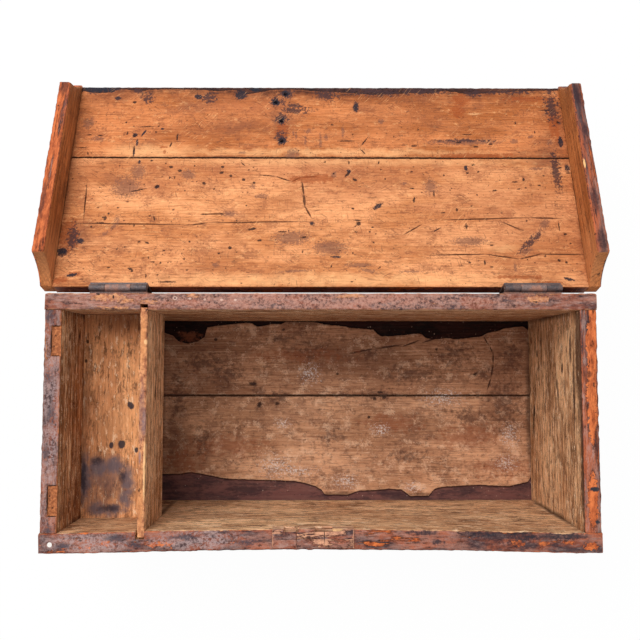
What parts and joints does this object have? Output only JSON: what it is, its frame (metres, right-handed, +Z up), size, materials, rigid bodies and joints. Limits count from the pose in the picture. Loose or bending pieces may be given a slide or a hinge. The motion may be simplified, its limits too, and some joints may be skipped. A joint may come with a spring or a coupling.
{
  "type": "carpenters tool chest",
  "caption": "Open wooden tool chest: dovetailed case with an open till at one end, and a two-board lid with overhanging end battens on a pair of iron butt hinges.",
  "frame": {"origin": "middle of the case's footprint, on its underside", "axes": "+X along the case to the right, +Y to the hinged back, +Z up"},
  "size_m": [0.7608, 0.6689, 0.2485],
  "materials": {
    "case_wood": "old dark finish worn to orange pine at the arrises, bare weathered pine inside",
    "bottom_wood": "bare weathered pine with dark stains",
    "till_wood": "bare aged pine",
    "patch_wood": "rough repair pine",
    "lid_wood": "bare aged pine, dented and stained",
    "batten_wood": "old dark finish, worn",
    "hinge_iron": "dark rusty iron",
    "fastener_iron": "dull rusty iron"
  },
  "bodies": {
    "chest": {"front_board": "case_wood", "back_board": "case_wood", "left_side_board": "case_wood", "right_side_board": "case_wood", "bottom_board_front": "bottom_wood", "bottom_board_rear": "bottom_wood", "till_side": "till_wood", "till_floor": "till_wood", "lock_patch_small": "patch_wood", "lock_patch_outer": "patch_wood", "lock_patch_inner": "patch_wood", "bottom_nail_front_1": "fastener_iron", "bottom_nail_front_2": "fastener_iron", "bottom_nail_front_3": "fastener_iron", "bottom_nail_front_4": "fastener_iron", "bottom_nail_front_5": "fastener_iron", "bottom_nail_back_1": "fastener_iron", "bottom_nail_back_2": "fastener_iron", "bottom_nail_back_3": "fastener_iron", "bottom_nail_back_4": "fastener_iron", "bottom_nail_back_5": "fastener_iron", "hinge_left_case_leaf": "hinge_iron", "hinge_left_pin": "hinge_iron", "hinge_left_case_screw_1": "fastener_iron", "hinge_left_case_screw_2": "fastener_iron", "hinge_left_case_screw_3": "fastener_iron", "hinge_right_case_leaf": "hinge_iron", "hinge_right_pin": "hinge_iron", "hinge_right_case_screw_1": "fastener_iron", "hinge_right_case_screw_2": "fastener_iron", "hinge_right_case_screw_3": "fastener_iron"},
    "lid": {"lid_board_front": "lid_wood", "lid_board_rear": "lid_wood", "lid_batten_left": "batten_wood", "lid_batten_right": "batten_wood", "batten_left_screw_1": "fastener_iron", "batten_left_screw_2": "fastener_iron", "batten_left_screw_3": "fastener_iron", "hinge_left_lid_leaf": "hinge_iron", "hinge_left_lid_screw_1": "fastener_iron", "hinge_left_lid_screw_2": "fastener_iron", "hinge_left_lid_screw_3": "fastener_iron", "batten_right_screw_1": "fastener_iron", "batten_right_screw_2": "fastener_iron", "batten_right_screw_3": "fastener_iron", "hinge_right_lid_leaf": "hinge_iron", "hinge_right_lid_screw_1": "fastener_iron", "hinge_right_lid_screw_2": "fastener_iron", "hinge_right_lid_screw_3": "fastener_iron"}
  },
  "joints": [
    {"name": "lid_hinge", "type": "hinge", "parent": "chest", "child": "lid", "pos_m": [0, 0.1762, 0.2312], "axis": [1, 0, 0], "range_deg": [0, 197.98]}
  ]
}
